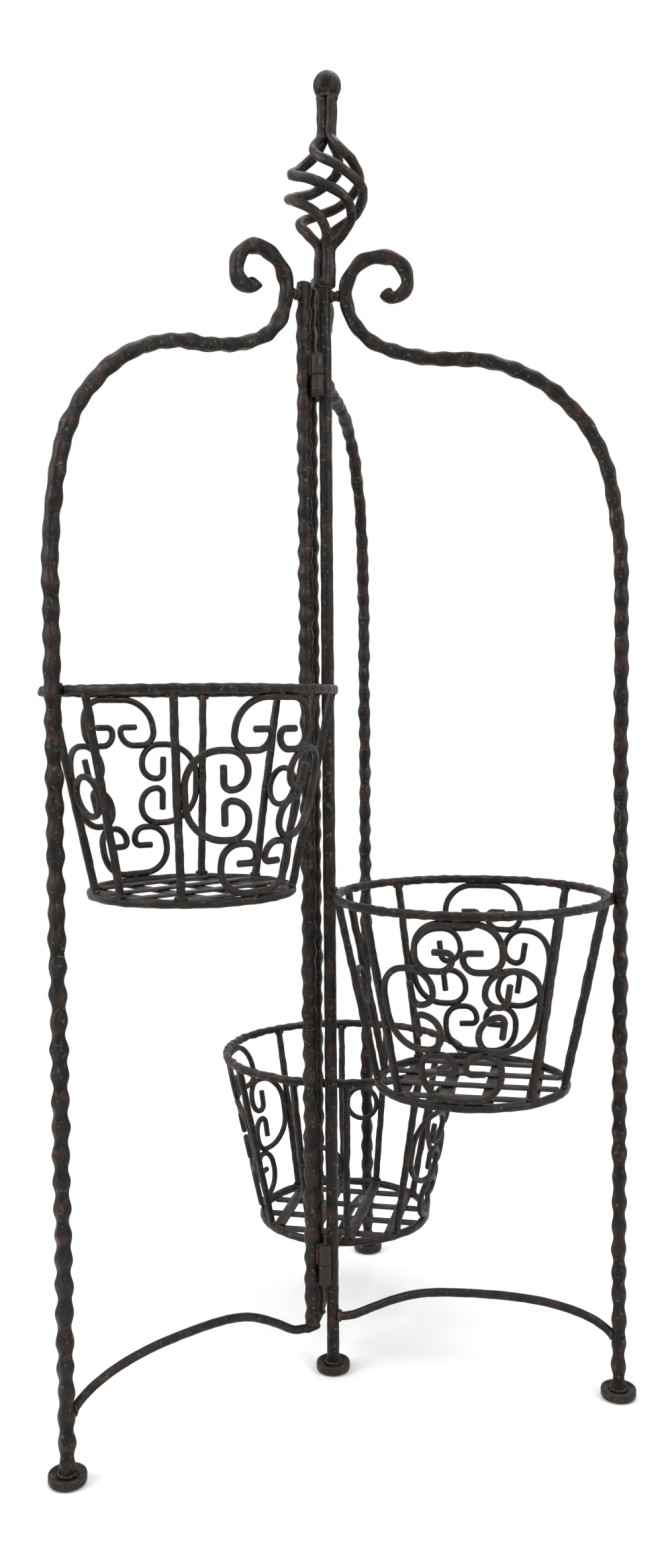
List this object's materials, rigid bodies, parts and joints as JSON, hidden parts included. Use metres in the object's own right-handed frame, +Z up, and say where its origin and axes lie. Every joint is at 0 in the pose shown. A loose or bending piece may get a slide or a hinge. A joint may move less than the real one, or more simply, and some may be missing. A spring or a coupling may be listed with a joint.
{
  "type": "folding plant stand",
  "caption": "Tall forged iron plant stand whose hinged wings fold about a centre post, each carrying a flared pot basket at its own height, with a twisted cage finial and ball.",
  "frame": {"origin": "on the floor under the centre post", "axes": "+Z up, +X along the wing that is fixed to the centre post"},
  "size_m": [0.5457, 0.5836, 1.3],
  "materials": {
    "aged_iron": "dark worn patina with rust, low gloss"
  },
  "bodies": {
    "fixed_wing": {"back_hinge_lower_knuckles": "aged_iron", "back_hinge_pins": "aged_iron", "centre_foot": "aged_iron", "centre_post": "aged_iron", "finial_ball": "aged_iron", "finial_strand_1": "aged_iron", "finial_strand_2": "aged_iron", "finial_strand_3": "aged_iron", "finial_strand_4": "aged_iron", "fixed_arch_bar": "aged_iron", "fixed_basket_bars": "aged_iron", "fixed_basket_base_ring": "aged_iron", "fixed_basket_rim": "aged_iron", "fixed_floor_strips_lower": "aged_iron", "fixed_floor_strips_upper": "aged_iron", "fixed_foot": "aged_iron", "fixed_o_rings": "aged_iron", "fixed_scroll_stub": "aged_iron", "fixed_scrolls_left": "aged_iron", "fixed_scrolls_right": "aged_iron", "fixed_stretcher": "aged_iron", "left_hinge_lower_knuckles": "aged_iron", "left_hinge_pins": "aged_iron"},
    "left_wing": {"left_arch_bar": "aged_iron", "left_basket_bars": "aged_iron", "left_basket_base_ring": "aged_iron", "left_basket_rim": "aged_iron", "left_floor_strips_lower": "aged_iron", "left_floor_strips_upper": "aged_iron", "left_foot": "aged_iron", "left_hinge_upper_knuckles": "aged_iron", "left_o_rings": "aged_iron", "left_post": "aged_iron", "left_scroll_stub": "aged_iron", "left_scrolls_left": "aged_iron", "left_scrolls_right": "aged_iron", "left_stretcher": "aged_iron"},
    "back_wing": {"back_arch_bar": "aged_iron", "back_basket_bars": "aged_iron", "back_basket_base_ring": "aged_iron", "back_basket_rim": "aged_iron", "back_floor_strips_lower": "aged_iron", "back_floor_strips_upper": "aged_iron", "back_foot": "aged_iron", "back_hinge_upper_knuckles": "aged_iron", "back_o_rings": "aged_iron", "back_post": "aged_iron", "back_scroll_stub": "aged_iron", "back_scrolls_left": "aged_iron", "back_scrolls_right": "aged_iron", "back_stretcher": "aged_iron"}
  },
  "joints": [
    {"name": "left_wing_hinge", "type": "hinge", "parent": "fixed_wing", "child": "left_wing", "pos_m": [-0.00551, -0.0115, 0], "axis": [0, 0, 1], "range_deg": [-12, 123]},
    {"name": "back_wing_hinge", "type": "hinge", "parent": "fixed_wing", "child": "back_wing", "pos_m": [-0.00551, 0.0115, 0], "axis": [0, 0, -1], "range_deg": [-12, 87]}
  ]
}
